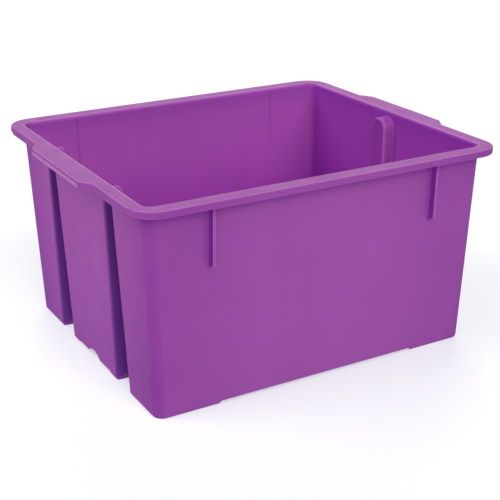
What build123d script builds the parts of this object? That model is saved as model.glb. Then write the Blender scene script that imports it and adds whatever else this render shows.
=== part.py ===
from build123d import *
import os
from math import cos, radians, sin, sqrt, tan

# A one-piece moulded storage bin that stacks one way round and nests the other.
# X runs along the bin, Y across it and Z up from the feet. The left end, with two columns, is at -X.

# Overall sizes, in millimetres
rim_length = 582.0
rim_width = 508.0
bin_height = 312.0

# Wall of the moulding and its lean, in degrees
wall = 3.0
draft_angle = 1.9
corner_radius = 16.0
least_corner_radius = 3.0
floor_bevel = 4.0

# Rim: a flange turned down into a lip
end_overhang = 19.4
side_overhang = 23.6
rim_corner_radius = 39.0
lip_height = 10.0
lip_thickness = 3.0
rim_edge_radius = 2.0
lip_bevel = 1.0
mouth_radius = 5.0
rim_depth = 8.0

# Bead along the lip's lower edge, on the straight runs of the ends
bead_height = 4.0
bead_reach = 1.4

# Handles: the middle of each end of the rim, drawn outwards
handle_reach = 14.0
handle_run = 178.0
handle_flare = 22.0
handle_bend_radius = 10.0

# Columns inside the ends, hollow grooves outside, with arched tops
left_column_spacing = 212.0
left_groove_radius = 13.0
right_groove_radius = 15.0
groove_depth = 18.0
groove_draft = 2.0
column_drop = 10.0
column_edge_round = 4.0
column_root_bevel = 2.0
groove_mouth_round = 4.0
round_steps = 4

# Stack seats: arched notches in the base that sit on another bin's columns
seat_span = 44.0
seat_rise = 8.0
seat_depth = 26.0

# Feet below the raised base
base_raise = 5.0
foot_width = 24.0
foot_wall = 3.0
foot_round = 4.0
side_foot_start = 162.0
middle_foot_length = 22.0
foot_slope_run = 5.0
middle_foot_slope_run = 1.0
foot_seat_gap = 1.0

# Nesting ribs under the rim
rib_spacing = 360.0
rib_thickness = 4.0
rib_root_radius = 3.0
rib_reach = 13.0
rib_tip_radius = 1.0
rib_length = 97.0
rib_toe = 7.0

# Room left round a feature where the moulding is divided into its regions
seam_margin = 5.0

# Sizes that follow from those above
flange_underside = bin_height - wall
lip_bottom = bin_height - lip_height
rim_seam = bin_height - rim_depth
run_start = handle_run / 2 + handle_flare + seam_margin
run_end = rim_width / 2 - rim_corner_radius - seam_margin
floor_top = base_raise + wall
groove_lean = radians(groove_draft)
column_depth = groove_depth + wall
far = 2 * rim_length


def half_length(z):
    """Half the body's outside length at height z."""
    return rim_length / 2 - end_overhang - (bin_height - z) * tan(radians(draft_angle))


def half_width(z):
    """Half the body's outside width at height z."""
    return rim_width / 2 - side_overhang - (bin_height - z) * tan(radians(draft_angle))


def block(x_low, x_high, y_low, y_high, z_low, z_high):
    """Box between six planes."""
    middle = Pos((x_low + x_high) / 2, (y_low + y_high) / 2, (z_low + z_high) / 2)
    return middle * Box(x_high - x_low, y_high - y_low, z_high - z_low)


def drafted_body(bottom, top, inset=0.0):
    """Solid of the leaning body between two heights, inset from its outside face."""
    x = half_length(bin_height) - inset
    y = half_width(bin_height) - inset
    body = block(-x, x, -y, y, bottom, top)
    sides = body.faces().sort_by(Axis.Z)[1:-1]
    body = draft(sides, Plane.XY.offset(bin_height), -draft_angle)
    leaning = [edge for edge in body.edges() if abs((edge % 0.5).Z) > 0.5]
    return fillet(leaning, max(corner_radius - inset, least_corner_radius))


def upright_body(bottom, top, inset=0.0):
    """Solid of the body's outline where the rim meets the walls, with upright sides."""
    length = 2 * (half_length(rim_seam) - inset)
    width = 2 * (half_width(rim_seam) - inset)
    outline = RectangleRounded(length, width, corner_radius - inset)
    return extrude(Pos(0, 0, bottom) * outline, top - bottom)


def end_plane(end, y):
    """Plane on an end wall's outside face: X across, Y up the wall, Z outwards. end is -1 or 1."""
    lean = radians(draft_angle)
    return Plane(
        origin=(end * half_length(0), y, 0),
        x_dir=(0, end, 0),
        z_dir=(end * cos(lean), 0, -sin(lean)),
    )


def groove_half_width(radius, height):
    """Half the width of an arched groove at a height below its arch."""
    centre = bin_height - column_drop - wall - radius
    return (radius + (centre - height) * sin(groove_lean)) / cos(groove_lean)


def arch_face(radius, growth=0.0):
    """Arched outline of a groove, or of the column round it when it is grown by the wall."""
    centre = bin_height - column_drop - wall - radius
    size = radius + growth
    shoulder = (size * cos(groove_lean), centre + size * sin(groove_lean))
    foot = ((size + centre * sin(groove_lean)) / cos(groove_lean), 0)
    crown = (0, centre + size)
    outline = [
        Line((-foot[0], 0), foot),
        Line(foot, shoulder),
        ThreePointArc(shoulder, crown, (-shoulder[0], shoulder[1])),
        Line((-shoulder[0], shoulder[1]), (-foot[0], 0)),
    ]
    return make_face(outline)


def quarter_round(radius):
    """Rounded edge in flat steps: the setback and depth of each line, from the face to the side."""
    turns = [radians(90 * step / round_steps) for step in range(round_steps + 1)]
    return [(radius * (1 - sin(turn)), radius * (1 - cos(turn))) for turn in turns]


def arch_stack(end, y, radius, sections):
    """Solid through arched sections, each given by its depth in an end wall and its growth."""
    plane = end_plane(end, y)
    faces = [plane.offset(-depth) * arch_face(radius, growth) for depth, growth in sections]
    return loft(faces, ruled=True)


def column_block(end, y, radius):
    """Solid column against the inside of an end wall, bevelled at its root and rounded at its edges."""
    root = wall + column_root_bevel
    sections = [(wall / 2, root), (wall, root), (root, wall)]
    for setback, depth in reversed(quarter_round(column_edge_round)):
        sections.append((column_depth - depth, wall - setback))
    return arch_stack(end, y, radius, sections)


def groove_cut(end, y, radius):
    """Solid that hollows a column from outside and below, rounding the edges of its mouth."""
    sections = [(-wall, groove_mouth_round)]
    for setback, depth in quarter_round(groove_mouth_round):
        sections.append((depth, setback))
    sections.append((groove_depth, 0.0))
    return arch_stack(end, y, radius, sections)


def seat_cylinder(end, y, growth, depth):
    """Cylinder lying along X whose top arches over a stack seat."""
    radius = (seat_span ** 2 / 4 + seat_rise ** 2) / (2 * seat_rise)
    centre = base_raise + seat_rise - radius
    outer = half_length(base_raise) + wall
    length = outer - (half_length(base_raise) - depth)
    place = Pos(end * (outer - length / 2), y, centre) * Rot(0, 90, 0)
    return place * Cylinder(radius + growth, length)


# Name, end, place across the bin and groove radius of each column, and the seats' names and places
left_column_y = left_column_spacing / 2
columns = [
    ("left_rear_column", -1, left_column_y, left_groove_radius),
    ("left_front_column", -1, -left_column_y, left_groove_radius),
    ("right_column", 1, 0.0, right_groove_radius),
]
seats = [
    ("left_stack_seat", -1, 0.0),
    ("right_rear_stack_seat", 1, left_column_y),
    ("right_front_stack_seat", 1, -left_column_y),
]


def make_tub():
    """Floor, walls, columns and seats as one shell, from the raised base to the rim."""
    outside = drafted_body(base_raise, rim_seam)
    cavity = drafted_body(floor_top, bin_height, wall)
    cavity = chamfer(cavity.edges().group_by(Axis.Z)[0], floor_bevel)
    tub = outside - cavity
    for name, end, y, radius in columns:
        tub += column_block(end, y, radius) & outside
    for name, end, y in seats:
        tub += seat_cylinder(end, y, wall, seat_depth + wall) & outside
    for name, end, y, radius in columns:
        tub -= groove_cut(end, y, radius)
    for name, end, y in seats:
        tub -= seat_cylinder(end, y, 0.0, seat_depth)
    return tub


def rim_outline():
    """Outline of the rim with a handle drawn out of each end."""
    outline = RectangleRounded(rim_length, rim_width, rim_corner_radius)
    root = rim_length / 2
    run = handle_run / 2
    spread = run + handle_flare
    for end in (-1, 1):
        edge = end * (root + handle_reach)
        corners = [(end * root, -spread), (edge, -run), (edge, run), (end * root, spread)]
        outline += make_face(Polyline(*corners, close=True))
    bends = [vertex for vertex in outline.vertices() if abs(vertex.Y) < spread + 1]
    return fillet(bends, handle_bend_radius)


def lip_bead(end, side):
    """Bead with a sloped face along the lower edge of the lip, on a straight run of an end."""
    root = rim_length / 2
    top = lip_bottom + bead_height
    back = root - lip_bevel
    outline = [(back, lip_bottom), (root + bead_reach, lip_bottom), (root, top), (back, top)]
    middle = side * (run_start + run_end) / 2
    across = Plane(origin=(0, middle, 0), x_dir=(end, 0, 0), z_dir=(0, -end, 0))
    profile = make_face(Polyline(*outline, close=True))
    return extrude(across * profile, (run_end - run_start) / 2, both=True)


def make_rim():
    """Flange and turned-down lip round the mouth, with the top of the walls."""
    outline = rim_outline()
    flange = extrude(Pos(0, 0, lip_bottom) * outline, lip_height)
    flange = fillet(flange.edges().group_by(Axis.Z)[-1], rim_edge_radius)
    under = extrude(Pos(0, 0, lip_bottom) * offset(outline, -lip_thickness), lip_height - wall)
    rim = flange - under + upright_body(rim_seam, flange_underside + wall / 2)
    rim -= upright_body(rim_seam - 1, bin_height + 1, wall)
    mouth = rim.faces().sort_by(Axis.Z)[-1].inner_wires()[0].edges()
    rim = fillet(mouth, mouth_radius)
    lip_face = rim.faces().sort_by(Axis.Z)[0]
    rim = chamfer(lip_face.outer_wire().edges(), lip_bevel)
    for end in (-1, 1):
        for side in (-1, 1):
            rim += lip_bead(end, side)
    return rim


def rib_face():
    """Plan outline of a nesting rib: wall side at Y = 0, reach towards -Y, flared at its root."""
    half = rib_thickness / 2
    spread = half + rib_root_radius
    flare = -rib_root_radius
    bend = rib_root_radius * (1 - sqrt(0.5))
    outline = [
        Line((-spread, 0), (spread, 0)),
        ThreePointArc((spread, 0), (half + bend, -bend), (half, flare)),
        Line((half, flare), (half, -rib_reach)),
        Line((half, -rib_reach), (-half, -rib_reach)),
        Line((-half, -rib_reach), (-half, flare)),
        ThreePointArc((-half, flare), (-half - bend, -bend), (-spread, 0)),
    ]
    face = make_face(outline)
    tips = face.vertices().group_by(Axis.Y)[0]
    return fillet(tips, rib_tip_radius)


def make_rib(x, side, rim):
    """Nesting rib down the outside of a wall, with a slanted toe."""
    lean = radians(draft_angle)
    bottom = flange_underside - rib_length
    up_wall = Plane(
        origin=(x, side * half_width(bottom), bottom),
        x_dir=(-side, 0, 0),
        z_dir=(0, side * sin(lean), cos(lean)),
    )
    rib = extrude(up_wall * rib_face(), 2 * rib_length)
    rib &= block(-far, far, -far, far, bottom, flange_underside)
    root = side * half_width(bottom)
    tip = root + side * 2 * rib_reach
    rise = 2 * rib_toe
    toe = make_face(Polyline((root, bottom), (tip, bottom - 1), (tip, bottom + rise), close=True))
    across = Plane(origin=(x, 0, 0), x_dir=(0, 1, 0), z_dir=(1, 0, 0))
    rib -= extrude(across * toe, 2 * rib_thickness, both=True)
    return rib - rim


def rounded_base():
    """The body's lowest slice, rounded in flat steps along its lower edge."""
    sections = []
    for inset, z in quarter_round(foot_round) + [(0.0, base_raise)]:
        length = 2 * (half_length(z) - inset)
        width = 2 * (half_width(z) - inset)
        sections.append(Pos(0, 0, z) * RectangleRounded(length, width, corner_radius - inset))
    return loft(sections, ruled=True)


def foot_ring(outside, inset):
    """Band under the body's edge, from an outside solid in to an inset from the body's face."""
    return outside - drafted_body(0, base_raise, inset)


def sloped_region(limits, slopes, inset=0.0):
    """Block below the raised base, its low and high sides in X and Y sloping inwards on the way down."""
    x_low, x_high, y_low, y_high = limits
    region = []
    for z, share in ((base_raise, 0.0), (0.0, 1.0)):
        steps = [inset + share * slope for slope in slopes]
        x_span = (x_low + steps[0], x_high - steps[1])
        y_span = (y_low + steps[2], y_high - steps[3])
        place = Pos(sum(x_span) / 2, sum(y_span) / 2, z)
        region.append(place * Rectangle(x_span[1] - x_span[0], y_span[1] - y_span[0]))
    return loft(region)


def make_foot(limits, slopes):
    """Hollow foot: a stretch of the band under the body's edge, rounded outside and open below."""
    foot = foot_ring(rounded_base(), foot_width) & sloped_region(limits, slopes)
    hollow = drafted_body(0, base_raise, foot_round + foot_wall)
    inside = foot_ring(hollow, foot_width - foot_wall)
    return foot - (inside & sloped_region(limits, slopes, foot_wall))


def make_feet():
    """Feet at the four corners, and beside the left grooves, whose walls run down to the ground."""
    feet = {}
    groove = groove_cut(-1, left_column_y, left_groove_radius)
    groove_half = groove_half_width(left_groove_radius, base_raise)
    groove_low = left_column_y - groove_half
    groove_high = left_column_y + groove_half
    seat_high = left_column_y + seat_span / 2 + wall + foot_seat_gap
    run = foot_slope_run
    left_corner = make_foot((-far, -side_foot_start, groove_high, far), (0, run, 0, 0)) - groove
    right_corner = make_foot((side_foot_start, far, seat_high, far), (run, 0, run, 0))
    middle_low = groove_low - middle_foot_length
    middle = make_foot((-far, 0, middle_low, groove_low), (0, 0, middle_foot_slope_run, 0)) - groove
    for name, foot in (("left", left_corner), ("right", right_corner), ("left_middle", middle)):
        feet[f"{name}_rear_foot"] = foot
        feet[f"{name}_front_foot"] = mirror(foot, Plane.XZ)
    return feet


def split_tub(tub):
    """Divide the shell into its floor, walls, corners, columns and seats."""
    nodes = {}
    inner_x = half_length(floor_top) - wall
    corner_y = half_width(0) - corner_radius - seam_margin
    end_x = half_length(0) - corner_radius - seam_margin
    floor_inset = wall + floor_bevel + seam_margin
    floor_zone = drafted_body(0, floor_top, floor_inset)
    nodes["floor_panel"] = tub & floor_zone
    shell = tub - floor_zone
    for name, end, y in seats:
        reach = seat_span / 2 + wall + seam_margin
        x_span = sorted((0.0, end * inner_x))
        zone = block(*x_span, y - reach, y + reach, 0, floor_top + seat_rise + seam_margin)
        nodes[name] = shell & zone
        shell -= zone
    for name, end, y, radius in columns:
        reach = groove_half_width(radius, 0) + wall + seam_margin
        x_span = sorted((0.0, end * far))
        zone = block(*x_span, y - reach, y + reach, -far, far)
        nodes[name] = shell & zone
    left_reach = groove_half_width(left_groove_radius, 0) + wall + seam_margin
    right_reach = groove_half_width(right_groove_radius, 0) + wall + seam_margin
    panels = [
        ("left_end_rear_panel", -1, left_column_y + left_reach, corner_y),
        ("left_end_middle_panel", -1, left_reach - left_column_y, left_column_y - left_reach),
        ("left_end_front_panel", -1, -corner_y, -left_column_y - left_reach),
        ("right_end_rear_panel", 1, right_reach, corner_y),
        ("right_end_front_panel", 1, -corner_y, -right_reach),
    ]
    for name, end, y_low, y_high in panels:
        nodes[name] = shell & block(*sorted((0.0, end * far)), y_low, y_high, -far, far)
    for name, side in (("front", -1), ("back", 1)):
        y_span = sorted((side * corner_y, side * far))
        nodes[f"{name}_wall"] = shell & block(-end_x, end_x, *y_span, -far, far)
        for end_name, end in (("left", -1), ("right", 1)):
            x_span = sorted((end * end_x, end * far))
            nodes[f"{end_name}_{name}_corner"] = shell & block(*x_span, *y_span, -far, far)
    return nodes


def split_rim(rim):
    """Divide the rim into its front and back with the corners, its end runs and its handles."""
    nodes = {}
    for name, side in (("front", -1), ("back", 1)):
        y_span = sorted((side * run_end, side * far))
        run_span = sorted((side * run_start, side * run_end))
        nodes[f"rim_{name}"] = rim & block(-far, far, *y_span, 0, far)
        for end_name, end in (("left", -1), ("right", 1)):
            x_span = sorted((0.0, end * far))
            nodes[f"rim_{end_name}_{name}_run"] = rim & block(*x_span, *run_span, 0, far)
    for end_name, end in (("left", -1), ("right", 1)):
        x_span = sorted((0.0, end * far))
        nodes[f"{end_name}_handle"] = rim & block(*x_span, -run_start, run_start, 0, far)
    return nodes


def make_bin():
    """Every region of the moulding, by name."""
    nodes = split_tub(make_tub())
    rim = make_rim()
    nodes.update(split_rim(rim))
    for name, side in (("front", -1), ("back", 1)):
        for end_name, end in (("left", -1), ("right", 1)):
            nodes[f"{name}_{end_name}_rib"] = make_rib(end * rib_spacing / 2, side, rim)
    nodes.update(make_feet())
    return nodes


os.makedirs("parts", exist_ok=True)
for node_name, solid in make_bin().items():
    export_step(solid, f"parts/{node_name}.step")
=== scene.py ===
from math import cos, pi, radians, sin

import bmesh
import bpy
from mathutils import Matrix, Vector
from mathutils.bvhtree import BVHTree


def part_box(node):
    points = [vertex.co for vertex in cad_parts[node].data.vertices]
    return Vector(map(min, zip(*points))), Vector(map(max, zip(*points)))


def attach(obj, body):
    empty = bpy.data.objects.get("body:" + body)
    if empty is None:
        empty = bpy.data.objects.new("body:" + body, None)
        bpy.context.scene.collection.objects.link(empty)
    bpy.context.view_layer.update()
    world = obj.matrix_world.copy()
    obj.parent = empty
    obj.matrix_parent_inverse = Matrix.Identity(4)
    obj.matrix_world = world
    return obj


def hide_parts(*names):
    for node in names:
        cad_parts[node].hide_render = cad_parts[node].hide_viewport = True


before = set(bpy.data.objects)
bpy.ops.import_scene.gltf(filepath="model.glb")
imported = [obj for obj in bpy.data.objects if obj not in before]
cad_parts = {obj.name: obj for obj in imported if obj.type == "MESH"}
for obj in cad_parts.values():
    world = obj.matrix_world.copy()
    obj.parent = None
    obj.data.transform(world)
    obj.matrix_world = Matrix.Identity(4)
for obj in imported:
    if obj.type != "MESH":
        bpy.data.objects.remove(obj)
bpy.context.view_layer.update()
scene = bpy.context.scene

# Camera, from the photograph's perspective: degrees, metres and millimetres
VIEW_AZIMUTH = -29.67
VIEW_ELEVATION = 21.71
VIEW_ROLL = -0.26
VIEW_DISTANCE = 1.76689
VIEW_TARGET = Vector((0.00275, -0.01236, 0.12612))
LENS = 81.12
SENSOR = 36.0

# Purple moulded plastic, as linear colour, fitted to the photograph for each region: the outside's own
# colour, then copies of it with painted light on the inside and the long walls inside, and painted shade
# on the ends, the lip, the grooves and the rib sides
PLASTIC_OUTSIDE = Vector((0.298, 0.068, 0.330))
PLASTIC_ENDS_SHADED = Vector((0.283, 0.058, 0.337))
PLASTIC_LIP_SHADED = Vector((0.274, 0.0585, 0.317))
PLASTIC_INSIDE_LIT = Vector((0.378, 0.050, 0.480))
PLASTIC_LONG_WALLS_LIT = Vector((0.428, 0.084, 0.470))
PLASTIC_GROOVES_SHADED = Vector((0.176, 0.043, 0.302))
PLASTIC_RIB_SIDES_SHADED = Vector((0.280, 0.050, 0.430))

# Columns: share of the colour that they keep under painted shade, share of the painted edge highlight
# that they keep, and how near to the wall a flush face is
COLUMN_SHADE = 0.84
COLUMN_HIGHLIGHT = 0.45
FLUSH = 0.001

# Clouds and flow lines in the plastic: features to a metre, detail, stretch and depth of colour
NOISE_RANGE = (0.3, 0.7)
CLOUD_SCALE = 11.0
CLOUD_DETAIL = 3.0
CLOUD_DEPTH = 0.03
FLOW_SCALE = 34.0
FLOW_DETAIL = 2.0
FLOW_STRETCH = (1.0, 1.0, 0.12)
FLOW_DEPTH = 0.015

# Dark specks: cells to a metre, largest size in a cell, share of cells that have none, depth of colour
SPECK_SCALE = 100.0
SPECK_SIZE = 0.08
SPECK_SHARE = 0.60
SPECK_DEPTH = 0.20

# Pale scuffs, in patches: features to a metre, detail, noise where each starts and is full, direction
SCUFF_SCALE = 260.0
SCUFF_DETAIL = 1.0
SCUFF_LIMITS = (0.70, 0.78)
SCUFF_STRETCH = (0.09, 0.55, 1.0)
SCUFF_TURN = (0.5, 0.35, 0.7)
SCUFF_DEPTH = 0.10
PATCH_SCALE = 26.0
PATCH_DETAIL = 2.0
PATCH_LIMITS = (0.52, 0.62)

# Roughness and what it comes from, the patches' noise and the scuffs, and the strength of the shine
ROUGHNESS = (0.66, 0.78)
ROUGHNESS_NOISE = (0.3, 0.8)
ROUGHNESS_OF_SCUFF = 0.2
SHINE = 0.17

# Fine grain and slow wave of the surface: features to a metre, detail, and height in metres
GRAIN_SCALE = 900.0
GRAIN_DETAIL = 2.0
GRAIN_HEIGHT = 0.00002
WAVE_SCALE = 16.0
WAVE_DETAIL = 1.0
WAVE_HEIGHT = 0.0004

# Painted shade of sink lines inside the long walls, opposite the ribs: half width and end, in metres,
# and depth of colour
SINK_WIDTH = (0.0010, 0.0030)
SINK_END = 0.018
SINK_SHADE_DEPTH = 0.15

# Painted light and shade by height above the floor: where each starts and is full, in metres, and the
# change; painted shade deep inside and at the inside of the mouth, painted light on the side walls just
# under the lip and higher up the end walls, and a deeper painted shade right under the lip
DEEP_HEIGHTS = (0.23, 0.11)
DEEP_SHADE = (-0.16, -0.42, -0.06)
MOUTH_HEIGHTS = (0.278, 0.302)
MOUTH_SHADE = (-0.12, -0.14, -0.04)
SIDE_HEIGHTS = (0.270, 0.296)
UNDER_LIP_LIGHT = (0.12, 0.10, 0.16)
END_HEIGHTS = (0.03, 0.29)
END_LIGHT = (0.19, 0.22, 0.10)
LIP_HEIGHTS = (0.284, 0.298)
UNDER_LIP_SHADE = (-0.08, -0.60, 0.04)

# Painted shade towards a wall's vertical edges: the same, by distance from the bin's middle
SIDE_EDGES = (0.10, 0.23)
SIDE_EDGES_SHADE = (-0.12, -0.20, -0.07)
END_EDGES = (0.12, 0.225)
END_EDGES_SHADE = (-0.22, -0.45, -0.14)

# Painted shadow on the wall beside a rib: the same, by distance from the rib's middle
RIB_EDGES = (0.011, 0.003)
RIB_SHADOW = (-0.05, -0.35, 0.04)

# Crown of the long walls: where it starts and ends along the bin, and how far it falls back, in metres
CROWN_SPAN = (0.205, 0.285)
CROWN_FALL = 0.006

# Bead along the lower edge of each handle's lip, and the handle and bevel that it is on, in metres
HANDLE_REACH = 0.014
LIP_BEVEL = 0.001
BEAD_HEIGHT = 0.006
BEAD_REACH = 0.0007

# Points above the bin that only its inside can see, and how far off a face a ray to them starts
MOUTH_POINTS = [Vector((x, y, 0.5)) for x in (-0.18, 0.0, 0.18) for y in (-0.13, 0.13)]
RAY_START = 0.0006

# Upward share of a face's direction where the inside's colour, with its painted light, starts and is
# full
INSIDE_TURN = (0.95, 0.55)

# Endward share of a face's direction where the painted shade of a rib's sides starts and is full
RIB_TURN = (0.75, 0.95)

# Convex edges with a painted highlight: where they are, their curve to a metre, and what they gain
HIGHLIGHT_NODES = ("rim_", "_handle", "_rib", "_column")
HIGHLIGHT_CURVE = (150.0, 190.0)
HIGHLIGHT_GAIN = Vector((0.13, 0.10, 0.10))

# Share of up or down in the direction, where the painted highlight on the rim starts and is full
HIGHLIGHT_TURN = (0.6, 0.9)

# Distances in metres, and the share of direction, at which places are the same or faces lie back to back
TOUCH = 0.00005
WELD = 0.000001
PLACE_DIGITS = 6
BACK_TO_BACK = -0.9

# Faces that meet at less than this angle, in degrees, shade as one curve
SOFT_ANGLE = 28.0

# Studio lights: name, azimuth, elevation and spread in degrees, strength
LIGHTS = [
    ("key", 1, 34, 40, 0.455),
    ("front", 352, 48, 36, 0.21),
    ("top", 300, 70, 50, 0.22),
    ("left_side", 249, 37, 45, 0.455),
    ("back_right", 149, 20, 45, 0.60),
]
LIGHT_COLOUR = (1.0, 0.985, 0.965)
WORLD_COLOUR = (0.80, 0.88, 1.0)
WORLD_STRENGTH = 0.02

# Pale floor, with a glow that keeps it near white
FLOOR_SIZE = 30.0
FLOOR_COLOUR = (0.62, 0.62, 0.62)
FLOOR_ROUGHNESS = 0.9
FLOOR_GLOW = 0.45
FLOOR_GLOW_COLOUR = (0.88, 0.94, 1.0)


class Nodes:
    """Short way to add shader nodes to one material."""

    def __init__(self, name):
        self.material = bpy.data.materials.new(name)
        self.material.use_nodes = True
        self.tree = self.material.node_tree
        self.tree.nodes.clear()
        output = self.tree.nodes.new("ShaderNodeOutputMaterial")
        self.shader = self.tree.nodes.new("ShaderNodeBsdfPrincipled")
        self.tree.links.new(self.shader.outputs["BSDF"], output.inputs["Surface"])

    def add(self, kind, **settings):
        """New node with some of its properties set."""
        node = self.tree.nodes.new(kind)
        for name, value in settings.items():
            setattr(node, name, value)
        return node

    def fill(self, socket, value):
        """Link an output to a socket, or set the socket's own value."""
        if isinstance(value, bpy.types.NodeSocket):
            self.tree.links.new(value, socket)
        else:
            socket.default_value = value

    def math(self, operation, first, second=0.0):
        """Sum, product or comparison of two values."""
        node = self.add("ShaderNodeMath", operation=operation)
        self.fill(node.inputs[0], first)
        self.fill(node.inputs[1], second)
        return node.outputs["Value"]

    def vector(self, operation, first, second):
        """Vector changed by another vector, or scaled by a value."""
        node = self.add("ShaderNodeVectorMath", operation=operation)
        self.fill(node.inputs[0], first)
        self.fill(node.inputs["Scale" if operation == "SCALE" else 1], second)
        return node.outputs["Vector"]

    def axes(self, vector):
        """X, Y and Z of a vector."""
        node = self.add("ShaderNodeSeparateXYZ")
        self.fill(node.inputs["Vector"], vector)
        return node.outputs["X"], node.outputs["Y"], node.outputs["Z"]

    def span(self, value, from_low, from_high, to_low, to_high):
        """Value moved from one range to another and held inside it."""
        node = self.add("ShaderNodeMapRange")
        self.fill(node.inputs["Value"], value)
        self.fill(node.inputs["From Min"], from_low)
        self.fill(node.inputs["From Max"], from_high)
        self.fill(node.inputs["To Min"], to_low)
        self.fill(node.inputs["To Max"], to_high)
        return node.outputs["Result"]

    def place(self, stretch=(1.0, 1.0, 1.0), turn=(0.0, 0.0, 0.0)):
        """Place on the object, turned and stretched."""
        mapping = self.add("ShaderNodeMapping")
        self.fill(mapping.inputs["Vector"], self.add("ShaderNodeTexCoord").outputs["Object"])
        self.fill(mapping.inputs["Rotation"], turn)
        self.fill(mapping.inputs["Scale"], stretch)
        return mapping.outputs["Vector"]

    def noise(self, place, scale, detail):
        """Noise value, mostly within NOISE_RANGE."""
        node = self.add("ShaderNodeTexNoise")
        self.fill(node.inputs["Vector"], place)
        self.fill(node.inputs["Scale"], scale)
        self.fill(node.inputs["Detail"], detail)
        return node.outputs["Fac"]

    def bump(self, height, distance, normal=None):
        """Direction of the surface, changed by a height from 0 to 1 of this distance."""
        node = self.add("ShaderNodeBump")
        self.fill(node.inputs["Height"], height)
        self.fill(node.inputs["Distance"], distance)
        if normal is not None:
            self.fill(node.inputs["Normal"], normal)
        return node.outputs["Normal"]


def moulding_tone(nodes, place):
    """Tone of the clouds, flow lines and specks in the plastic, around 1."""
    cloud = nodes.noise(place, CLOUD_SCALE, CLOUD_DETAIL)
    tone = nodes.math("ADD", nodes.span(cloud, *NOISE_RANGE, -CLOUD_DEPTH, CLOUD_DEPTH), 1.0)
    flow = nodes.noise(nodes.place(FLOW_STRETCH), FLOW_SCALE, FLOW_DETAIL)
    tone = nodes.math("ADD", tone, nodes.span(flow, *NOISE_RANGE, -FLOW_DEPTH, FLOW_DEPTH))
    cells = nodes.add("ShaderNodeTexVoronoi")
    nodes.fill(cells.inputs["Vector"], place)
    nodes.fill(cells.inputs["Scale"], SPECK_SCALE)
    chance = nodes.add("ShaderNodeSeparateColor")
    nodes.fill(chance.inputs["Color"], cells.outputs["Color"])
    size = nodes.span(chance.outputs["Red"], SPECK_SHARE, 1.0, 0.0, SPECK_SIZE)
    speck = nodes.math("LESS_THAN", cells.outputs["Distance"], size)
    return nodes.math("SUBTRACT", tone, nodes.math("MULTIPLY", speck, SPECK_DEPTH))


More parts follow.
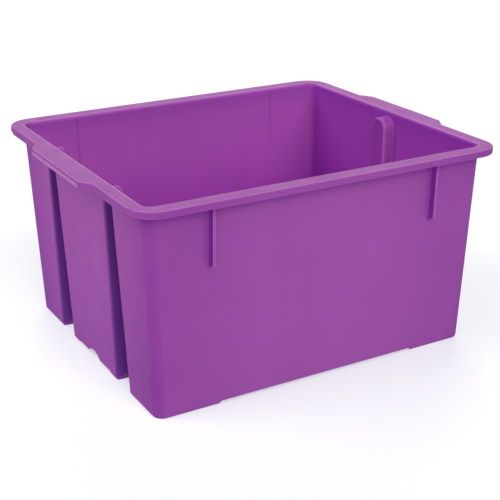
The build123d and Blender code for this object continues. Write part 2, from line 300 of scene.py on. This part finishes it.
def moulded_plastic():
    """Satin purple plastic with moulding flow, specks and scuffs, painted shade of sink lines, and
    painted light and shade by height, wall edge and rib.
    """
    nodes = Nodes("moulded_plastic_purple")
    place = nodes.place()
    tint = nodes.add("ShaderNodeAttribute", attribute_name="tint")
    inside = tint.outputs["Alpha"]
    outside = nodes.math("SUBTRACT", 1.0, inside)
    x, y, height = nodes.axes(place)
    along = nodes.math("ABSOLUTE", x)
    aside = nodes.math("ABSOLUTE", y)
    facing_x, facing_y, _ = nodes.axes(nodes.add("ShaderNodeNewGeometry").outputs["True Normal"])
    endwise = nodes.math("ABSOLUTE", facing_x)
    sidewise = nodes.math("ABSOLUTE", facing_y)
    rib_low, rib_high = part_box("back_right_rib")
    from_rib = nodes.math("ABSOLUTE", nodes.math("SUBTRACT", along, (rib_low.x + rib_high.x) / 2))
    at_rib = nodes.span(height, rib_low.z, rib_low.z + SINK_END, 0.0, 1.0)

    scuff = nodes.noise(nodes.place(SCUFF_STRETCH, SCUFF_TURN), SCUFF_SCALE, SCUFF_DETAIL)
    patch = nodes.noise(place, PATCH_SCALE, PATCH_DETAIL)
    in_patch = nodes.span(patch, *PATCH_LIMITS, 0.0, 1.0)
    mark = nodes.math("MULTIPLY", nodes.span(scuff, *SCUFF_LIMITS, 0.0, 1.0), in_patch)
    # Painted shade along the sink lines opposite the ribs
    sink_shade = nodes.math("MULTIPLY", nodes.span(from_rib, *SINK_WIDTH, SINK_SHADE_DEPTH, 0.0), at_rib)
    tone = moulding_tone(nodes, place)
    tone = nodes.math("ADD", tone, nodes.math("MULTIPLY", mark, SCUFF_DEPTH))
    tone = nodes.math("SUBTRACT", tone, nodes.math("MULTIPLY", sink_shade, inside))

    lip_low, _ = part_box("rim_front")
    walls = nodes.math("MULTIPLY", outside, nodes.math("LESS_THAN", height, lip_low.z))
    side_walls = nodes.math("MULTIPLY", walls, sidewise)
    end_walls = nodes.math("MULTIPLY", walls, endwise)
    past_rib = nodes.math("GREATER_THAN", from_rib, (rib_high.x - rib_low.x) / 2 + TOUCH)
    beside_rib = nodes.math("MULTIPLY", side_walls, past_rib)
    # Painted light and shade by height, towards the walls' vertical edges and beside the ribs
    painted_light_and_shade = (1.0, 1.0, 1.0)
    for measure, limits, full_change, where in (
        (height, DEEP_HEIGHTS, DEEP_SHADE, inside),
        (height, MOUTH_HEIGHTS, MOUTH_SHADE, inside),
        (height, SIDE_HEIGHTS, UNDER_LIP_LIGHT, side_walls),
        (height, END_HEIGHTS, END_LIGHT, end_walls),
        (height, LIP_HEIGHTS, UNDER_LIP_SHADE, nodes.math("MAXIMUM", side_walls, end_walls)),
        (along, SIDE_EDGES, SIDE_EDGES_SHADE, nodes.math("MULTIPLY", outside, sidewise)),
        (aside, END_EDGES, END_EDGES_SHADE, end_walls),
        (from_rib, RIB_EDGES, RIB_SHADOW, nodes.math("MULTIPLY", beside_rib, at_rib)),
    ):
        share = nodes.math("MULTIPLY", nodes.span(measure, *limits, 0.0, 1.0), where)
        painted_light_and_shade = nodes.vector("ADD", painted_light_and_shade, nodes.vector("SCALE", full_change, share))
    colour = nodes.vector("SCALE", tint.outputs["Color"], tone)
    nodes.fill(nodes.shader.inputs["Base Color"], nodes.vector("MULTIPLY", colour, painted_light_and_shade))

    wear_and_highlight = nodes.math("ADD", patch, nodes.math("MULTIPLY", mark, ROUGHNESS_OF_SCUFF))
    nodes.fill(nodes.shader.inputs["Roughness"], nodes.span(wear_and_highlight, *ROUGHNESS_NOISE, *ROUGHNESS))
    nodes.fill(nodes.shader.inputs["Specular IOR Level"], SHINE)

    fall = nodes.math("POWER", nodes.span(along, *CROWN_SPAN, 0.0, 1.0), 2.0)
    crown = nodes.math("SUBTRACT", 1.0, nodes.math("MULTIPLY", fall, sidewise))
    normal = nodes.bump(crown, CROWN_FALL)
    normal = nodes.bump(nodes.noise(place, WAVE_SCALE, WAVE_DETAIL), WAVE_HEIGHT, normal)
    normal = nodes.bump(nodes.noise(place, GRAIN_SCALE, GRAIN_DETAIL), GRAIN_HEIGHT, normal)
    nodes.fill(nodes.shader.inputs["Normal"], normal)
    return nodes.material


def share_of(value, low, high):
    """How far a value lies between two others, from 0 to 1."""
    return min(max((value - low) / (high - low), 0.0), 1.0)


def place_key(mesh, index):
    """Place of a vertex, the same for vertices that coincide."""
    return tuple(round(value, PLACE_DIGITS) for value in mesh.vertices[index].co)


def outward_curves(mesh, shell):
    """Convex curve of each open face, to a metre, from how far the faces beside it turn away."""
    sides = {}
    for face in mesh.polygons:
        near = shell.find_nearest_range(face.center, TOUCH)
        if any(normal.dot(face.normal) < BACK_TO_BACK for _, normal, _, _ in near):
            continue
        places = [place_key(mesh, index) for index in face.vertices]
        for first, second in zip(places, places[1:] + places[:1]):
            sides.setdefault(frozenset((first, second)), []).append(face)
    curves = [0.0] * len(mesh.polygons)
    for ends, faces in sides.items():
        if len(faces) != 2:
            continue
        length = (Vector(min(ends)) - Vector(max(ends))).length
        turn = faces[0].normal.angle(faces[1].normal)
        away = (faces[1].center - faces[0].center).dot(faces[0].normal) < 0
        for face in faces:
            curves[face.index] += (turn if away else -turn) * length / (2 * face.area)
    return curves


def shell_of(pieces):
    """All the pieces' faces together, to look for faces that touch or hide each other."""
    vertices = []
    faces = []
    for piece in pieces:
        start = len(vertices)
        vertices += [vertex.co.copy() for vertex in piece.data.vertices]
        faces += [[start + index for index in face.vertices] for face in piece.data.polygons]
    return BVHTree.FromPolygons(vertices, faces)


def is_inside(face, shell):
    """Whether a face can be seen from above the bin's mouth."""
    start = face.center + face.normal * RAY_START
    for point in MOUTH_POINTS:
        ray = point - start
        if ray.dot(face.normal) > 0 and shell.ray_cast(start, ray.normalized(), ray.length)[0] is None:
            return True
    return False


def is_rim(piece):
    """Whether a piece is part of the rim, handles included."""
    return piece.name.startswith("rim_") or piece.name.endswith("_handle")


def is_column(piece):
    """Whether a piece is one of the arched columns, which are grooves from outside."""
    return piece.name.endswith("_column")


def outside_colour(piece, face, normal, inside):
    """Colour that a piece's outside has at a corner of a face with this shading direction, with painted
    shade on the lip, rib sides, ends and grooves.
    """
    if is_rim(piece):
        return PLASTIC_OUTSIDE.lerp(PLASTIC_LIP_SHADED, 1.0 - abs(normal.z))
    if piece.name.endswith("_rib"):
        return PLASTIC_OUTSIDE.lerp(PLASTIC_RIB_SIDES_SHADED, share_of(abs(face.normal.x), *RIB_TURN))
    colour = PLASTIC_OUTSIDE.lerp(PLASTIC_ENDS_SHADED, abs(normal.x))
    if is_column(piece) and not inside:
        return colour.lerp(PLASTIC_GROOVES_SHADED, abs(normal.y))
    return colour


def paint(piece, shell):
    """Store the plastic's colour on each corner of each face, with painted light inside, painted shade
    on columns and painted highlights on edges and beads, and with how far it is inside as alpha.
    """
    mesh = piece.data
    tint = mesh.attributes.new("tint", "FLOAT_COLOR", "CORNER")
    bead = mesh.attributes.get("bead")
    curves = outward_curves(mesh, shell)
    insides = [is_inside(face, shell) for face in mesh.polygons]
    planes = [face.normal.dot(face.center) for face in mesh.polygons]
    wall_plane = min((plane for plane, inside in zip(planes, insides) if inside), default=0.0)
    highlights = any(word in piece.name for word in HIGHLIGHT_NODES)
    wear_and_highlight = COLUMN_HIGHLIGHT if is_column(piece) else 1.0
    for face in mesh.polygons:
        inside = insides[face.index]
        flush = planes[face.index] < wall_plane + FLUSH
        shade = COLUMN_SHADE if is_column(piece) and not flush else 1.0
        highlighted = highlights and (inside or not is_column(piece))
        edge = share_of(curves[face.index], *HIGHLIGHT_CURVE) * wear_and_highlight if highlighted else 0.0
        on_bead = bead.data[face.index].value if bead else 0.0
        for corner in face.loop_indices:
            normal = mesh.corner_normals[corner].vector
            depth = share_of(normal.z, *INSIDE_TURN) if inside else 0.0
            deep = PLASTIC_INSIDE_LIT.lerp(PLASTIC_LONG_WALLS_LIT, abs(normal.y)) * shade
            turn = share_of(abs(normal.z), *HIGHLIGHT_TURN) if is_rim(piece) else 1.0
            colour = outside_colour(piece, face, normal, inside).lerp(deep, depth)
            # Painted highlight on convex edges and on the handles' beads
            colour += HIGHLIGHT_GAIN * max(edge * turn, on_bead)
            tint.data[corner].color = (*colour, depth)


def soften(mesh):
    """Shade the flat steps of a rounded edge as one curve."""
    normals = [corner.vector.copy() for corner in mesh.corner_normals]
    places = {}
    for face in mesh.polygons:
        for corner in face.loop_indices:
            key = place_key(mesh, mesh.loops[corner].vertex_index)
            places.setdefault(key, []).append((corner, face.area))
    limit = cos(radians(SOFT_ANGLE))
    softened = list(normals)
    for corners in places.values():
        for corner, _ in corners:
            total = Vector()
            for other, weight in corners:
                if normals[corner].dot(normals[other]) > limit:
                    total += normals[other] * weight
            softened[corner] = total.normalized()
    mesh.normals_split_custom_set(softened)


def make_beaded_handle(end_name, end, material):
    """Handle in the place of the plain one, its lip drawn in above a bead along the lower edge."""
    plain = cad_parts[f"{end_name}_handle"]
    low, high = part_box(plain.name)
    outer = max(-low.x, high.x)
    root = outer - HANDLE_REACH
    bead_top = low.z + BEAD_HEIGHT
    shape = bmesh.new()
    shape.from_mesh(plain.data)
    bmesh.ops.remove_doubles(shape, verts=shape.verts, dist=WELD)
    everything = shape.verts[:] + shape.edges[:] + shape.faces[:]
    bmesh.ops.bisect_plane(shape, geom=everything, plane_co=(0, 0, bead_top), plane_no=(0, 0, 1))
    straight = max(abs(vertex.co.y) for vertex in shape.verts if end * vertex.co.x > outer - TOUCH)
    edge = set()
    for vertex in shape.verts:
        beyond = end * vertex.co.x - root
        below = vertex.co.z < bead_top - TOUCH and beyond > HANDLE_REACH - LIP_BEVEL - TOUCH
        if below and abs(vertex.co.y) < straight + TOUCH:
            edge.add(vertex)
        elif beyond > 0:
            vertex.co.x = end * (root + beyond * (1.0 - BEAD_REACH / HANDLE_REACH))
    bead = shape.faces.layers.float.new("bead")
    for face in shape.faces:
        heights = [vertex.co.z for vertex in face.verts]
        face[bead] = float(not edge.isdisjoint(face.verts) and max(heights) > bead_top - TOUCH)
    mesh = bpy.data.meshes.new(f"{end_name}_beaded_handle")
    shape.to_mesh(mesh)
    shape.free()
    mesh.attributes.remove(mesh.attributes["custom_normal"])
    mesh.shade_smooth()
    mesh.set_sharp_from_angle(angle=radians(SOFT_ANGLE))
    mesh.materials.append(material)
    handle = bpy.data.objects.new(mesh.name, mesh)
    scene.collection.objects.link(handle)
    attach(handle, "root")
    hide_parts(plain.name)
    return handle


def make_floor():
    """Plain pale floor under the bin."""
    half = FLOOR_SIZE / 2
    mesh = bpy.data.meshes.new("floor")
    corners = [(-half, -half, 0), (half, -half, 0), (half, half, 0), (-half, half, 0)]
    mesh.from_pydata(corners, [], [(0, 1, 2, 3)])
    floor = bpy.data.objects.new("floor", mesh)
    scene.collection.objects.link(floor)
    nodes = Nodes("floor_pale")
    nodes.fill(nodes.shader.inputs["Base Color"], (*FLOOR_COLOUR, 1.0))
    nodes.fill(nodes.shader.inputs["Roughness"], FLOOR_ROUGHNESS)
    nodes.fill(nodes.shader.inputs["Specular IOR Level"], 0.0)
    nodes.fill(nodes.shader.inputs["Emission Color"], (*FLOOR_GLOW_COLOUR, 1.0))
    nodes.fill(nodes.shader.inputs["Emission Strength"], FLOOR_GLOW)
    mesh.materials.append(nodes.material)


def direction_from(azimuth, elevation):
    """Unit vector that points from the bin to a place at this azimuth and elevation in degrees."""
    turn = radians(azimuth)
    rise = radians(elevation)
    return Vector((sin(turn) * cos(rise), -cos(turn) * cos(rise), sin(rise)))


def make_lights():
    """Broad soft lamps and an even sky."""
    for name, azimuth, elevation, spread, strength in LIGHTS:
        data = bpy.data.lights.new(name, "SUN")
        data.angle = radians(spread)
        data.energy = strength * pi
        data.color = LIGHT_COLOUR
        lamp = bpy.data.objects.new(name, data)
        lamp.rotation_mode = "QUATERNION"
        lamp.rotation_quaternion = (-direction_from(azimuth, elevation)).to_track_quat("-Z", "Y")
        scene.collection.objects.link(lamp)
    world = bpy.data.worlds.new("studio")
    world.use_nodes = True
    background = world.node_tree.nodes["Background"]
    background.inputs["Color"].default_value = (*WORLD_COLOUR, 1.0)
    background.inputs["Strength"].default_value = WORLD_STRENGTH
    scene.world = world


def make_camera():
    """Camera at the photograph's viewing angle."""
    back = direction_from(VIEW_AZIMUTH, VIEW_ELEVATION)
    data = bpy.data.cameras.new("camera")
    data.lens = LENS
    data.sensor_width = SENSOR
    camera = bpy.data.objects.new("camera", data)
    scene.collection.objects.link(camera)
    turn = (-back).to_track_quat("-Z", "Y").to_matrix().to_4x4()
    roll = Matrix.Rotation(radians(VIEW_ROLL), 4, "Z")
    camera.matrix_world = Matrix.Translation(VIEW_TARGET + back * VIEW_DISTANCE) @ turn @ roll
    scene.camera = camera


plastic = moulded_plastic()
for name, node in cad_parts.items():
    for material_slot in node.material_slots:
        material_slot.material = plastic
    if name.endswith(("_column", "_foot")):
        soften(node.data)
handles = [make_beaded_handle("left", -1, plastic), make_beaded_handle("right", 1, plastic)]
pieces = [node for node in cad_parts.values() if not node.hide_render] + handles
bin_shell = shell_of(pieces)
for piece in pieces:
    paint(piece, bin_shell)
make_floor()
make_lights()
make_camera()
scene.view_settings.view_transform = "Standard"
